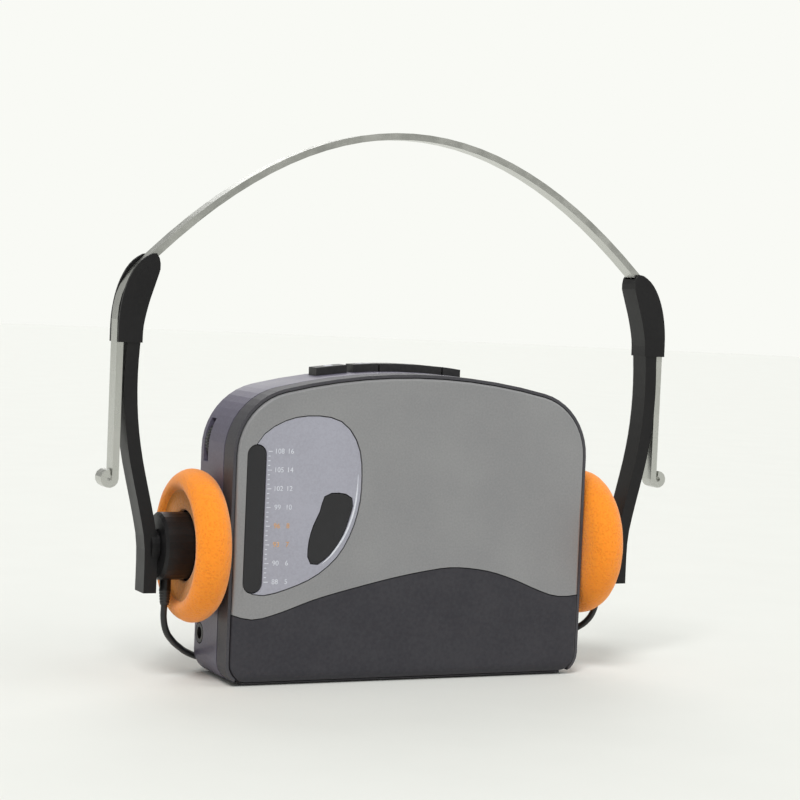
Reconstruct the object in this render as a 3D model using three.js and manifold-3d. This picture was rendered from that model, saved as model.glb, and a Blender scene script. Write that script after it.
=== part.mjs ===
// A portable radio cassette player that stands on its lower edge with its headphones clamped on it.
// Millimetres. X runs to the right, Y to the back (the door faces -Y) and Z up. The origin is under the
// middle of the player, on the surface that it stands on.
import * as THREE from 'three';
import { mergeVertices } from 'three/addons/utils/BufferGeometryUtils.js';
import Module from 'manifold-3d';

const wasm = await Module();
wasm.setup();

// Player casing
const playerWidth = 117;
const playerHeight = 92.5;
const playerDepth = 30;
const crownRadius = 187;
const shoulderRadius = 20;
const footRadius = 7;
const doorBack = -6.5;
const shellFront = -6;
const wallThickness = 2;
const backThickness = 1.8;
const fitGap = 0.3;

// Cassette drive
const hubSpacing = 42.5;
const hubHeight = 43.8;
const capstanPlace = { x: -32, z: 71.3 };
const flywheelRadius = 10;
const motorPlace = { x: 30, z: 66 };
const pulleyRadius = 2.5;
const chassisFront = 2;
const chassisBack = 3.2;
const driveLayer = { front: 3.6, back: 5 };
const pinionRadius = 5;
const takeupDiscRadius = 10;

// Battery bay
const cellRadius = 5.2;
const cellLength = 44.5;
const cellDepth = 8.2;
const cellHeights = [7.8, 18.6];

// Headphones
const padRadius = 23;
const padHeight = 40;
const padInner = playerWidth / 2 + fitGap;
const padOuter = 70.6;
const hubRadius = 10;
const flange = [62.2, 65.8];
const flangeRadius = 15.5;
const hubEnd = 76.3;
const bandApex = 164;
const bandSag = 0.006;
const bandWidth = 5.6;
const bandThickness = 2;
const leadRadius = 1;

const player = new THREE.Group();

// ---------- shaping helpers ----------

function volumeOf(geometry) {
  const place = geometry.getAttribute('position');
  const index = geometry.getIndex();
  const corner = [new THREE.Vector3(), new THREE.Vector3(), new THREE.Vector3()];
  let total = 0;
  for (let i = 0; i < index.count; i += 3) {
    for (let k = 0; k < 3; k += 1) {
      corner[k].fromBufferAttribute(place, index.getX(i + k));
    }
    total += corner[0].dot(corner[1].clone().cross(corner[2])) / 6;
  }
  return total;
}

// Merges shared corners and turns the faces outward.
function tidy(geometry) {
  const bare = new THREE.BufferGeometry();
  bare.setAttribute('position', geometry.getAttribute('position').clone());
  if (geometry.getIndex()) {
    bare.setIndex(geometry.getIndex().clone());
  }
  const merged = mergeVertices(bare, 1e-4);
  const kept = [];
  const index = merged.getIndex();
  for (let i = 0; i < index.count; i += 3) {
    const [a, b, c] = [index.getX(i), index.getX(i + 1), index.getX(i + 2)];
    if (a !== b && b !== c && c !== a) {
      kept.push(a, b, c);
    }
  }
  merged.setIndex(kept);
  if (volumeOf(merged) < 0) {
    for (let i = 0; i < kept.length; i += 3) {
      [kept[i + 1], kept[i + 2]] = [kept[i + 2], kept[i + 1]];
    }
    merged.setIndex(kept);
  }
  return merged;
}

function solid(geometry) {
  const merged = tidy(geometry);
  return new wasm.Manifold(new wasm.Mesh({
    numProp: 3,
    vertProperties: new Float32Array(merged.getAttribute('position').array),
    triVerts: new Uint32Array(merged.getIndex().array),
  }));
}

function toGeometry(body) {
  const mesh = body.getMesh();
  const geometry = new THREE.BufferGeometry();
  geometry.setAttribute('position', new THREE.BufferAttribute(new Float32Array(mesh.vertProperties), 3));
  geometry.setIndex(new THREE.BufferAttribute(new Uint32Array(mesh.triVerts), 1));
  geometry.computeVertexNormals();
  return geometry;
}

function cut(body, ...tools) {
  return tools.reduce((left, tool) => left.subtract(tool), body);
}

function join(...bodies) {
  return bodies.reduce((whole, body) => whole.add(body));
}

// A plate whose outline lies in X and Z, between two depths.
function plate(shape, front, back, curveSegments = 5) {
  const geometry = new THREE.ExtrudeGeometry(shape, {
    depth: back - front,
    bevelEnabled: false,
    curveSegments,
    steps: 1,
  });
  geometry.rotateX(Math.PI / 2);
  geometry.translate(0, back, 0);
  return solid(geometry);
}

function block(x, y, z) {
  const geometry = new THREE.BoxGeometry(x[1] - x[0], y[1] - y[0], z[1] - z[0]);
  geometry.translate((x[0] + x[1]) / 2, (y[0] + y[1]) / 2, (z[0] + z[1]) / 2);
  return solid(geometry);
}

// A body of revolution about Y: the profile lists [radius, y].
function turned(profile, sides, place) {
  const points = profile.map(([radius, y]) => new THREE.Vector2(radius, y));
  const geometry = new THREE.LatheGeometry(points, sides);
  geometry.translate(place.x, 0, place.z);
  return solid(geometry);
}

// A body of revolution about X on one side: the profile lists [radius, distance from the middle].
function turnedAcross(profile, sides, side, place) {
  const points = profile.map(([radius, x]) => new THREE.Vector2(radius, x * side));
  const geometry = new THREE.LatheGeometry(points, sides);
  geometry.rotateZ(-Math.PI / 2);
  geometry.translate(0, place.y, place.z);
  return solid(geometry);
}

function rodAlongY(radius, y, place, sides = 20) {
  return turned([[0, y[0]], [radius, y[0]], [radius, y[1]], [0, y[1]]], sides, place);
}

function rodAcross(radius, x, place, sides = 20) {
  return turnedAcross([[0, x[0]], [radius, x[0]], [radius, x[1]], [0, x[1]]], sides, 1, place);
}

function rodUpright(radius, z, place, sides = 16) {
  const geometry = new THREE.CylinderGeometry(radius, radius, z[1] - z[0], sides);
  geometry.rotateX(Math.PI / 2);
  geometry.translate(place.x, place.y, (z[0] + z[1]) / 2);
  return solid(geometry);
}

function shapeOf(points) {
  return new THREE.Shape(points.map(([x, z]) => new THREE.Vector2(x, z)));
}

// Smooth closed outline through the given points, grown outward by a distance.
function smoothLoop(points, grow, samples) {
  const curve = new THREE.CatmullRomCurve3(
    points.map(([x, z]) => new THREE.Vector3(x, z, 0)),
    true,
    'centripetal',
  );
  const loop = [];
  for (let i = 0; i < samples; i += 1) {
    const at = curve.getPointAt(i / samples);
    const along = curve.getTangentAt(i / samples);
    loop.push([at.x + along.y * grow, at.y - along.x * grow]);
  }
  return shapeOf(loop);
}

// A stretch of X on one side of the player, from its distances from the middle.
function span(side, distances) {
  return distances.map((x) => x * side).sort((a, b) => a - b);
}

// A flat strip bent along a path in X and Z, between two depths.
function ribbon(path, thickness, y) {
  const near = [];
  const far = [];
  path.forEach((point, i) => {
    const before = path[Math.max(i - 1, 0)];
    const after = path[Math.min(i + 1, path.length - 1)];
    const along = new THREE.Vector2(after[0] - before[0], after[1] - before[1]).normalize();
    near.push([point[0] - along.y * thickness / 2, point[1] + along.x * thickness / 2]);
    far.push([point[0] + along.y * thickness / 2, point[1] - along.x * thickness / 2]);
  });
  return plate(shapeOf([...near, ...far.reverse()]), y[0], y[1]);
}

function cord(points, radius, sides) {
  const curve = new THREE.CatmullRomCurve3(points.map((p) => new THREE.Vector3(...p)), false, 'centripetal');
  const section = new THREE.Shape();
  section.absarc(0, 0, radius, 0, 2 * Math.PI, false);
  const geometry = new THREE.ExtrudeGeometry(section, {
    extrudePath: curve,
    steps: Math.round(curve.getLength() / (5 * radius)),
    curveSegments: sides / 2,
    bevelEnabled: false,
  });
  return solid(geometry);
}

const finishes = {
  shell: { color: 0x5f5b6b, roughness: 0.5, metalness: 0 },
  doorEdge: { color: 0x46464a, roughness: 0.5, metalness: 0 },
  upperGrey: { color: 0x8f8f8f, roughness: 0.45, metalness: 0 },
  lowerGrey: { color: 0x403f44, roughness: 0.5, metalness: 0 },
  lavender: { color: 0xa6a6b0, roughness: 0.4, metalness: 0 },
  smoke: { color: 0x36353a, roughness: 0.15, metalness: 0 },
  black: { color: 0x1c1c1e, roughness: 0.5, metalness: 0 },
  steel: { color: 0xc8c9c6, roughness: 0.25, metalness: 1 },
  brass: { color: 0xc9a24a, roughness: 0.3, metalness: 1 },
  rubber: { color: 0x202020, roughness: 0.9, metalness: 0 },
  foam: { color: 0xff9a1a, roughness: 0.95, metalness: 0 },
  board: { color: 0x2c6b3c, roughness: 0.5, metalness: 0 },
  cellJacket: { color: 0x3a5f9a, roughness: 0.4, metalness: 0 },
  whitePlastic: { color: 0xd8d8d2, roughness: 0.5, metalness: 0 },
};

function piece(name, body, finish) {
  const mesh = new THREE.Mesh(toGeometry(body), new THREE.MeshStandardMaterial(finishes[finish]));
  mesh.name = name;
  player.add(mesh);
}

// ---------- casing outline ----------

const footX = playerWidth / 2 - footRadius;
const shoulderX = playerWidth / 2 - shoulderRadius;
const crownCentre = playerHeight - crownRadius;
const shoulderZ = crownCentre + Math.sqrt((crownRadius - shoulderRadius) ** 2 - shoulderX ** 2);
const crownAngle = Math.atan2(shoulderZ - crownCentre, shoulderX);

function caseOutline(inset) {
  const shape = new THREE.Shape();
  shape.moveTo(-footX, inset);
  shape.lineTo(footX, inset);
  shape.absarc(footX, footRadius, footRadius - inset, -Math.PI / 2, 0, false);
  shape.absarc(shoulderX, shoulderZ, shoulderRadius - inset, 0, crownAngle, false);
  shape.absarc(0, crownCentre, crownRadius - inset, crownAngle, Math.PI - crownAngle, false);
  shape.absarc(-shoulderX, shoulderZ, shoulderRadius - inset, Math.PI - crownAngle, Math.PI, false);
  shape.absarc(-footX, footRadius, footRadius - inset, Math.PI, Math.PI * 1.5, false);
  return shape;
}

// A plate with the case's outline whose edge draws in towards one face: [inset, front, back] for each layer.
function roundedPlate(layers) {
  return wasm.Manifold.hull(layers.map(([inset, front, back]) => plate(caseOutline(inset), front, back)));
}

// ---------- layout shared by several pieces ----------

const keyDepth = [3.8, 9.8];
const keyRise = 2.4;
const keyFoot = 85.6;
const keys = [
  { name: 'stop_key', x: [-26, -16] },
  { name: 'rewind_key', x: [-13.8, -5.6] },
  { name: 'play_key', x: [-5, 15.9] },
  { name: 'forward_key', x: [16.5, 22.5] },
];
const wheelRadius = 7;
const wheelThickness = 3;
const wheelPlace = { x: 51.6, y: 9, z: 70 };
const wheelSlotZ = [wheelPlace.z - 5.8, wheelPlace.z + 7.2];
const jackPlace = { y: 9, z: 12.5 };
const hinge = { y: -10.75, z: 4.25, radius: 4.25 };
const lugX = [53.2, 55.2];
const knuckleRadius = 2.3;
const screwPlaces = [[-34, 84.8], [34, 84.8], [-53.6, 23], [53.6, 23]];
const switchSlot = { x: [-20, -6], z: [74.6, 79.4] };
const lid = { x: [-30, 30], z: [3.6, 23.4] };

// Dial window: an upright slot with round ends.
const slot = { x: -51.4, halfWidth: 2.8, bottom: 27.7, top: 71 };

function slotShape(grow) {
  const radius = slot.halfWidth + grow;
  const shape = new THREE.Shape();
  shape.absarc(slot.x, slot.bottom + slot.halfWidth, radius, Math.PI, 2 * Math.PI, false);
  shape.absarc(slot.x, slot.top - slot.halfWidth, radius, 0, Math.PI, false);
  return shape;
}

const dialPoints = [
  [-51.4, 27.4], [-46.5, 27.2], [-38.5, 29.4], [-32.6, 31.9], [-28.2, 34.9], [-24.6, 38.4], [-21.6, 43.3],
  [-19.3, 49.3], [-18.1, 55.5], [-18, 63], [-18.7, 68.8], [-20.9, 73.9], [-24.4, 77.6], [-29, 79.3],
  [-37.5, 79.4], [-43, 78], [-48, 75.2], [-51.4, 71.3], [-51.4, 50],
];
const leafPoints = [
  [-30.7, 51.4], [-32.8, 46.8], [-34, 41.6], [-33.8, 37], [-32.2, 35.6], [-29.8, 36.6], [-26, 40], [-23, 45],
  [-21.3, 50], [-20.4, 54.2], [-21.7, 56.1], [-29, 56.2],
];

const wavePoints = [
  [-70, 26], [-57.5, 21.3], [-50.5, 19.8], [-42, 21.8], [-30, 25.8], [-10, 30.6], [4, 33.2], [14, 34.2],
  [25, 33], [34, 30.4], [42, 27.2], [48, 25.1], [53, 24.6], [60, 25.4], [70, 27],
];

// Everything below the wavy line between the two covers.
function belowWave(shift) {
  const curve = new THREE.SplineCurve(wavePoints.map(([x, z]) => new THREE.Vector2(x, z)));
  const wave = curve.getSpacedPoints(44).map((p) => [p.x, p.y + shift]);
  return shapeOf([...wave, [70, -5], [-70, -5]]);
}

// What lies outside the round lower edge of the door, which turns about the hinge pins.
function hingeCorner() {
  const box = block([-60, 60], [-playerDepth / 2 - 1, doorBack + 0.1], [-1, hinge.z]);
  return cut(box, rodAcross(hinge.radius, [-61, 61], hinge, 32));
}

// ---------- back shell and what is fixed to it ----------

function makeBackShell() {
  const back = playerDepth / 2;
  const outer = roundedPlate([
    [0, shellFront, back - 1.9],
    [0.5, shellFront, back - 0.7],
    [1.7, shellFront, back],
  ]);
  const inner = plate(caseOutline(wallThickness), shellFront - 1, playerDepth / 2 - backThickness);
  let shell = cut(outer, inner);
  const lidX = [lid.x[0] - fitGap, lid.x[1] + fitGap];
  shell = cut(shell, block(lidX, [12, 16], [lid.z[0] - fitGap, lid.z[1] + fitGap]));
  shell = cut(shell, block(switchSlot.x, [12, 16], switchSlot.z));
  for (const key of keys) {
    const slotX = [key.x[0] - fitGap, key.x[1] + fitGap];
    shell = cut(shell, block(slotX, [keyDepth[0] - fitGap, keyDepth[1] + fitGap], [86, 96]));
  }
  for (const side of [-1, 1]) {
    const across = span(side, [50, 60]);
    const halfDepth = wheelThickness / 2 + 0.4;
    const slotY = [wheelPlace.y - halfDepth, wheelPlace.y + halfDepth];
    shell = cut(shell, block(across, slotY, wheelSlotZ));
    shell = cut(shell, rodAcross(3.3, across, jackPlace, 20));
    const lug = join(
      rodAcross(knuckleRadius, span(side, lugX), hinge, 16),
      block(span(side, lugX), [hinge.y, -3], [hinge.z - 1.6, hinge.z + knuckleRadius]),
      block(span(side, [lugX[0], 57]), [shellFront + 0.2, -3], [hinge.z - 1.6, hinge.z + knuckleRadius]),
    );
    shell = join(shell, cut(lug, rodAcross(1.1, [-60, 60], hinge, 10)));
  }
  for (const [x, z] of screwPlaces) {
    shell = join(shell, rodAlongY(1.8, [chassisBack + fitGap, playerDepth / 2 - 1], { x, z }, 12));
    shell = cut(shell, rodAlongY(2.7, [13.8, 16], { x, z }, 16));
    shell = cut(shell, rodAlongY(1.15, [6, 16], { x, z }, 8));
  }
  return shell;
}

function makeScrew(x, z) {
  const head = 14.6;
  const profile = [[0, 6.6], [0.85, 7], [0.85, 13.9], [2.4, 14.1], [2.4, head], [0, head]];
  const screw = turned(profile, 12, { x, z });
  return cut(
    screw,
    block([x - 1.5, x + 1.5], [head - 0.35, head + 1], [z - 0.25, z + 0.25]),
    block([x - 0.25, x + 0.25], [head - 0.35, head + 1], [z - 1.5, z + 1.5]),
  );
}

function makeBatteryLid() {
  const panel = block(lid.x, [13.5, 14.9], lid.z);
  const ridges = [];
  for (let i = 0; i < 5; i += 1) {
    ridges.push(block([19 + i * 2, 20 + i * 2], [14.6, 15.1], [8, 19]));
  }
  return join(panel, ...ridges);
}

function makeSwitch() {
  const x = switchSlot.x[0] + fitGap;
  const z = [switchSlot.z[0] + fitGap, switchSlot.z[1] - fitGap];
  return join(
    block([x, x + 7.2], [12.4, 14.4], z),
    block([x + 1.2, x + 6], [14, 15.9], [z[0] + 0.6, z[1] - 0.6]),
  );
}

// A panel socket with an open bore: the bore faces out through the side wall.
function makeSocket(side, boreRadius, pin) {
  const face = playerWidth / 2;
  const profile = [
    [0, 43], [3.6, 43], [3.6, 56.2], [3, 56.2], [3, face], [boreRadius, face], [boreRadius, 45], [0, 45],
  ];
  const socket = turnedAcross(profile, 24, side, jackPlace);
  if (!pin) {
    return socket;
  }
  return join(socket, rodAcross(0.6, span(side, [44, 56]), jackPlace, 10));
}

function makeDoorCatch() {
  return join(
    block([26, 32], [-8.6, -0.2], [83.6, 84.4]),
    block([26, 32], [-8.6, -7.8], [84, 86]),
    block([26, 32], [-1, 1.7], [80, 84.4]),
  );
}

// ---------- door ----------

function makeDoorFrame() {
  const front = -14.2;
  const webFront = -12.1;
  const webBack = -10.6;
  let frame = cut(
    plate(caseOutline(0), front, doorBack),
    plate(caseOutline(0.9), front - 1, webFront),
    plate(caseOutline(wallThickness), webBack, doorBack + 1),
    plate(slotShape(fitGap), -13, -10),
    plate(smoothLoop(leafPoints, -0.4, 24), -13, -10),
    hingeCorner(),
  );
  for (const side of [-1, 1]) {
    frame = cut(frame, block(span(side, [lugX[0] - fitGap, lugX[1] + fitGap]), [-15.2, -6], [-1, 9]));
    frame = join(frame, rodAcross(knuckleRadius, span(side, [50.4, lugX[0] - fitGap]), hinge, 16));
    frame = cut(frame, rodAcross(1.1, span(side, [50.8, 56.8]), hinge, 10));
  }
  return frame;
}

const coverInset = 1.2;
const coverFront = -playerDepth / 2;
const coverBack = -12.4;

function makeCoverBlank() {
  return roundedPlate([
    [coverInset, coverFront + 0.6, coverBack],
    [coverInset + 0.2, coverFront + 0.2, coverBack],
    [coverInset + 0.6, coverFront, coverBack],
  ]);
}

function makeUpperCover() {
  return cut(
    makeCoverBlank(),
    plate(belowWave(0.15), -16, -12),
    plate(smoothLoop(dialPoints, fitGap, 40), -16, -12),
    plate(slotShape(fitGap), -16, -12),
  );
}

function makeLowerCover() {
  return cut(
    makeCoverBlank().intersect(plate(belowWave(-0.15), -16, -12)),
    hingeCorner(),
    block([-56.8, -50], [-13.4, -12], [-1, 8]),
    block([50, 56.8], [-13.4, -12], [-1, 8]),
  );
}

function makeDialPanel() {
  return cut(
    plate(smoothLoop(dialPoints, 0, 40), -14.75, -12.4),
    plate(slotShape(fitGap), -16, -12),
    plate(smoothLoop(leafPoints, fitGap, 24), -16, -12),
  );
}

// ---------- cassette drive ----------

function makeChassis() {
  let chassis = plate(caseOutline(wallThickness + 0.4), chassisFront, chassisBack);
  chassis = chassis.intersect(block([-60, 60], [1, 4], [24.6, 84]));
  for (const x of [-hubSpacing / 2, hubSpacing / 2]) {
    chassis = cut(chassis, rodAlongY(2.6, [1, 4], { x, z: hubHeight }, 20));
  }
  chassis = cut(chassis, rodAlongY(1.5, [1, 4], capstanPlace, 16), rodAlongY(1.4, [1, 4], idlerPlace, 16));
  return chassis;
}

const driveLine = new THREE.Vector2(-hubSpacing / 2 - capstanPlace.x, hubHeight - capstanPlace.z);
const idlerRadius = (driveLine.length() - pinionRadius - takeupDiscRadius) / 2;
const idlerShift = driveLine.clone().setLength(pinionRadius + idlerRadius);
const idlerPlace = { x: capstanPlace.x + idlerShift.x, z: capstanPlace.z + idlerShift.y };
const rimGap = 0.15;

function makeSpindle(x, discRadius) {
  const spindle = turned([
    [0, -6], [1.2, -6], [2.6, -4.4], [2.6, 0.2], [8, 0.2], [8, 1.6], [2.2, 1.6], [2.2, driveLayer.front],
    [discRadius - rimGap, driveLayer.front], [discRadius - rimGap, driveLayer.back], [0, driveLayer.back],
  ], 20, { x, z: hubHeight });
  const splines = [];
  for (let i = 0; i < 3; i += 1) {
    const spline = new THREE.BoxGeometry(1, 4.6, 8.2);
    spline.rotateY(i * Math.PI / 3);
    spline.translate(x, -1.9, hubHeight);
    splines.push(solid(spline));
  }
  return join(spindle, ...splines);
}

function makeCapstan() {
  return turned([
    [0, -9.4], [1, -9.4], [1, driveLayer.front], [pinionRadius - rimGap, driveLayer.front],
    [pinionRadius - rimGap, driveLayer.back], [flywheelRadius, driveLayer.back + 0.3], [flywheelRadius, 9.3],
    [0, 9.3],
  ], 28, capstanPlace);
}

function makePulley() {
  return turned([[0, 5], [pulleyRadius, 5], [pulleyRadius, 6.8], [0, 6.8]], 20, motorPlace);
}

// A flat belt around the flywheel and the motor pulley.
function makeBelt() {
  const run = new THREE.Vector2(motorPlace.x - capstanPlace.x, motorPlace.z - capstanPlace.z);
  const tilt = Math.atan2(run.y, run.x);
  const outline = (clear) => {
    const big = flywheelRadius + clear;
    const small = pulleyRadius + clear;
    const lean = Math.acos((big - small) / run.length());
    const shape = new THREE.Shape();
    shape.absarc(capstanPlace.x, capstanPlace.z, big, tilt + lean, tilt - lean + 2 * Math.PI, false);
    shape.absarc(motorPlace.x, motorPlace.z, small, tilt - lean, tilt + lean, false);
    return shape;
  };
  return cut(plate(outline(1), 5.6, 6.6, 10), plate(outline(0.2), 5, 7, 10));
}

const headPlateZ = [80.4, 87.2];

function makeHeadPlate() {
  return join(
    block([-24, 14], [0.5, 1.6], headPlateZ),
    block([8, 12], [-1, 1], [86, headPlateZ[1]]),
  );
}

function makeHead() {
  const profile = new THREE.Shape();
  profile.moveTo(-6, 86.4);
  profile.lineTo(-6, 82);
  profile.quadraticCurveTo(0, 77.4, 6, 82);
  profile.lineTo(6, 86.4);
  profile.closePath();
  return plate(profile, -9, 0.2);
}

const pinchPivot = { x: -46, z: 78.5 };
const pinchRoller = { x: -33, z: 81.4 };

function makePinchArm() {
  const arm = join(
    rodAlongY(2.2, [-0.8, 0.6], pinchPivot, 16),
    rodAlongY(2.2, [-0.8, 0.6], pinchRoller, 16),
    ribbon([[pinchPivot.x, pinchPivot.z], [pinchRoller.x, pinchRoller.z]], 3.6, [-0.8, 0.6]),
    rodAlongY(0.9, [0.4, 1.7], pinchPivot, 12),
  );
  return join(arm, rodAlongY(0.8, [-8.6, 0], pinchRoller, 12));
}

function makePinchRoller() {
  return cut(
    rodAlongY(3.9, [-8.2, -1.2], pinchRoller, 24),
    rodAlongY(1.1, [-9, 0], pinchRoller, 12),
  );
}

function makeCircuitBoard() {
  const board = block([-49, 49], [10.2, 11.4], [25.2, 53.5]);
  const parts = [
    block([-46, -34], [5.6, 10.5], [40, 52]),
    block([-46, -40], [6.5, 10.5], [28, 34]),
    block([-36, -30], [6.5, 10.5], [28, 34]),
    block([-8, 8], [8, 10.5], [34, 40]),
    block([34, 46], [7.4, 10.5], [30, 34]),
    rodAlongY(3, [6, 10.5], { x: 14, z: 30 }, 12),
    rodAlongY(3, [6, 10.5], { x: 24, z: 30 }, 12),
    rodAlongY(2.5, [5.8, 10.5], { x: 0, z: 29.5 }, 12),
    rodAlongY(4, [5.6, 10.5], { x: 42, z: 44 }, 14),
  ];
  return join(board, ...parts);
}

// The two cells lie one above the other, nose to tail.
function makeCell(height, side) {
  const half = cellLength / 2;
  return turnedAcross([
    [0, -half], [cellRadius, -half], [cellRadius, half - 1], [1.9, half - 1], [1.9, half], [0, half],
  ], 20, side, { y: cellDepth, z: height });
}

function makeBatteryContact() {
  const tab = (z) => block([-24.4, -23.4], [cellDepth - 3, cellDepth + 3], [z - 3, z + 3]);
  const link = block([-24.4, -23.4], [cellDepth - 1.5, cellDepth + 1.5], cellHeights);
  return join(link, ...cellHeights.map(tab));
}

function makeBatterySpring() {
  const turns = 3;
  const points = [];
  for (let i = 0; i <= turns * 10; i += 1) {
    const angle = i * Math.PI / 5;
    const radius = 3.8 - 0.05 * i;
    const x = 27.8 - 4.6 * i / (turns * 10);
    points.push([x, cellDepth + radius * Math.cos(angle), cellHeights[0] + radius * Math.sin(angle)]);
  }
  return cord(points, 0.4, 6);
}

// ---------- headphones ----------

function padProfile() {
  return [
    [0, padInner], [14, padInner], [19, padInner + 0.6], [22, padInner + 3], [padRadius, padInner + 6.2],
    [22, padInner + 9.3], [20, padOuter - 0.5], [18.4, padOuter], [17, padOuter - 0.5],
    [16.2, padOuter - 2.5],
    [hubRadius + fitGap, padOuter - 2.8], [hubRadius + fitGap, flange[1] + fitGap],
    [flangeRadius + fitGap, flange[1] + fitGap], [flangeRadius + fitGap, flange[0] - fitGap],
    [0, flange[0] - fitGap],
  ];
}

function makePad(side) {
  return turnedAcross(padProfile(), 32, side, { y: 0, z: padHeight });
}

function makeHousing(side) {
  const body = turnedAcross([
    [0, flange[0]], [flangeRadius, flange[0]], [flangeRadius, flange[1]], [hubRadius, flange[1]],
    [hubRadius, hubEnd - 0.8], [hubRadius - 0.8, hubEnd], [0, hubEnd],
  ], 28, side, { y: 0, z: padHeight });
  return join(body, rodUpright(1.7, [27, 31], { x: leadExitX * side, y: 0 }, 14));
}

const leadExitX = 73;
const armThickness = 3.9;
const armHalfWidth = 3.9;
const collarHalfWidth = 4.2;
const armPath = [
  [79, 26.6], [79.1, 40], [80.4, 48], [82.4, 56.5], [84.6, 66], [86.2, 76], [86.9, 87], [86.6, 98],
  [85.6, 106], [83.6, 114], [81.6, 120.2],
];
const legX = 90.3;
const curlRadius = 1.7;
const legFoot = 60;

// The spring-steel headband: an arch, a bend into two straight legs, and a curl at each end.
function bandHalf() {
  const half = [];
  for (let i = 0; i <= 14; i += 1) {
    const x = 80 * i / 14;
    half.push([x, bandApex - bandSag * x * x]);
  }
  const bend = new THREE.CubicBezierCurve(
    new THREE.Vector2(80, bandApex - bandSag * 6400),
    new THREE.Vector2(84.5, 121.2),
    new THREE.Vector2(legX, 116.5),
    new THREE.Vector2(legX, 106),
  );
  for (let i = 1; i <= 8; i += 1) {
    const at = bend.getPoint(i / 8);
    half.push([at.x, at.y]);
  }
  half.push([legX, legFoot]);
  for (let i = 1; i <= 10; i += 1) {
    const angle = Math.PI + i * Math.PI / 6.6;
    half.push([legX + curlRadius + curlRadius * Math.cos(angle), legFoot + curlRadius * Math.sin(angle)]);
  }
  return half;
}

function makeHeadband() {
  const right = bandHalf();
  const left = right.slice(1).map(([x, z]) => [-x, z]).reverse();
  return ribbon([...left, ...right], bandThickness, [-bandWidth / 2, bandWidth / 2]);
}

// The collar that holds the band on the arm. The band's way through it is open on the outer side, so that
// the straight leg can be drawn up through it.
function makeArm(side) {
  const mirror = (points) => points.map(([x, z]) => [x * side, z]);
  const curve = new THREE.SplineCurve(armPath.map(([x, z]) => new THREE.Vector2(x, z)));
  const path = curve.getSpacedPoints(22).map((p) => [p.x, p.y]);
  const bar = ribbon(mirror(path), armThickness, [-armHalfWidth, armHalfWidth]);
  const collarEdge = new THREE.SplineCurve([
    [84, 99.5], [83.8, 104.5], [82.4, 111], [80.4, 117.4], [79.3, 121.6], [80.6, 125.4],
    [84.3, 123.9], [87.4, 120.3], [89.8, 114.6], [91.1, 107.5], [91.3, 99.5],
  ].map(([x, z]) => new THREE.Vector2(x, z)));
  const collar = plate(
    shapeOf(mirror(collarEdge.getSpacedPoints(34).map((p) => [p.x, p.y]))),
    -collarHalfWidth,
    collarHalfWidth,
  );
  const clear = bandThickness / 2 + 0.4;
  const inner = bandHalf().filter(([x, z]) => x > 74 && z > 90).map(([x, z], i, all) => {
    const next = all[Math.min(i + 1, all.length - 1)];
    const last = all[Math.max(i - 1, 0)];
    const along = new THREE.Vector2(next[0] - last[0], next[1] - last[1]).normalize();
    return [x + along.y * clear, z - along.x * clear];
  });
  const way = plate(shapeOf(mirror([
    ...inner, [legX - clear, 90], [legX + clear, 90], [legX + clear, 140], [74, 140],
  ])), -bandWidth / 2 - 0.4, bandWidth / 2 + 0.4);
  const boss = turnedAcross([[0, hubEnd + fitGap], [5, hubEnd + fitGap], [5, 79], [0, 79]], 24, side, {
    y: 0,
    z: padHeight,
  });
  return join(cut(join(bar, collar), way), boss);
}

// ---------- leads ----------

const floorLine = leadRadius + 0.05;
const splitter = { y: [27, 38], z: 2.2 };
const coil = { x: 27, y: 40, mid: 12, halfWidth: 3, halfHeight: 4 };

function leadRoute(side) {
  return [
    [leadExitX * side, 0, 26.7], [leadExitX * side, 0.2, 22.5], [72.8 * side, 0.8, 18.4],
    [71.4 * side, 2.2, 14.4], [68.6 * side, 4.8, 11.2], [64.8 * side, 9, 8.4], [60.4 * side, 13.8, 5.8],
    [54.8 * side, 17.8, 3.5], [48 * side, 20.4, 1.7], [40 * side, 21.3, 1.08],
    [24 * side, 19.4, floorLine], [13 * side, 18.8, floorLine], [5.4 * side, 20.6, 1.3],
    [1.9 * side, 24, 1.9], [1.2 * side, 26.7, 2.2],
  ];
}

const plugStart = [47, 52.8];
const leadToCoil = [
  [0, 38.3, 2.2], [0.1, 41, 1.7], [1.2, 45.4, floorLine], [4.6, 49.6, floorLine], [9.6, 52.2, floorLine],
  [14.9, 52.6, floorLine],
];
const leadToPlug = [
  [38.6, 53.6, 3.8], [41.5, 53.2, 2.9], [44.4, 52.9, 2.6], [plugStart[0] - fitGap, plugStart[1], 2.6],
];

function makeSplitter() {
  const shape = new THREE.Shape();
  shape.moveTo(-2.6, splitter.y[0]);
  shape.lineTo(2.6, splitter.y[0]);
  shape.lineTo(2.6, splitter.y[0] + 5);
  shape.quadraticCurveTo(2.4, splitter.y[0] + 8, 1.5, splitter.y[1]);
  shape.lineTo(-1.5, splitter.y[1]);
  shape.quadraticCurveTo(-2.4, splitter.y[0] + 8, -2.6, splitter.y[0] + 5);
  shape.closePath();
  const geometry = new THREE.ExtrudeGeometry(shape, { depth: 3.2, bevelEnabled: false, curveSegments: 4 });
  geometry.translate(0, 0, 0.6);
  return solid(geometry);
}

function makeCoil() {
  const inner = coil.mid - coil.halfWidth;
  const outer = coil.mid + coil.halfWidth;
  const top = coil.halfHeight;
  const profile = [
    [inner, -top + 1], [inner + 1, -top], [outer - 1, -top], [outer, -top + 1],
    [outer, top - 1], [outer - 1, top], [inner + 1, top], [inner, top - 1], [inner, -top + 1],
  ];
  const geometry = new THREE.LatheGeometry(profile.map(([r, z]) => new THREE.Vector2(r, z)), 28);
  geometry.rotateX(Math.PI / 2);
  geometry.translate(coil.x, coil.y, top + 0.05);
  return solid(geometry);
}

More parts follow.
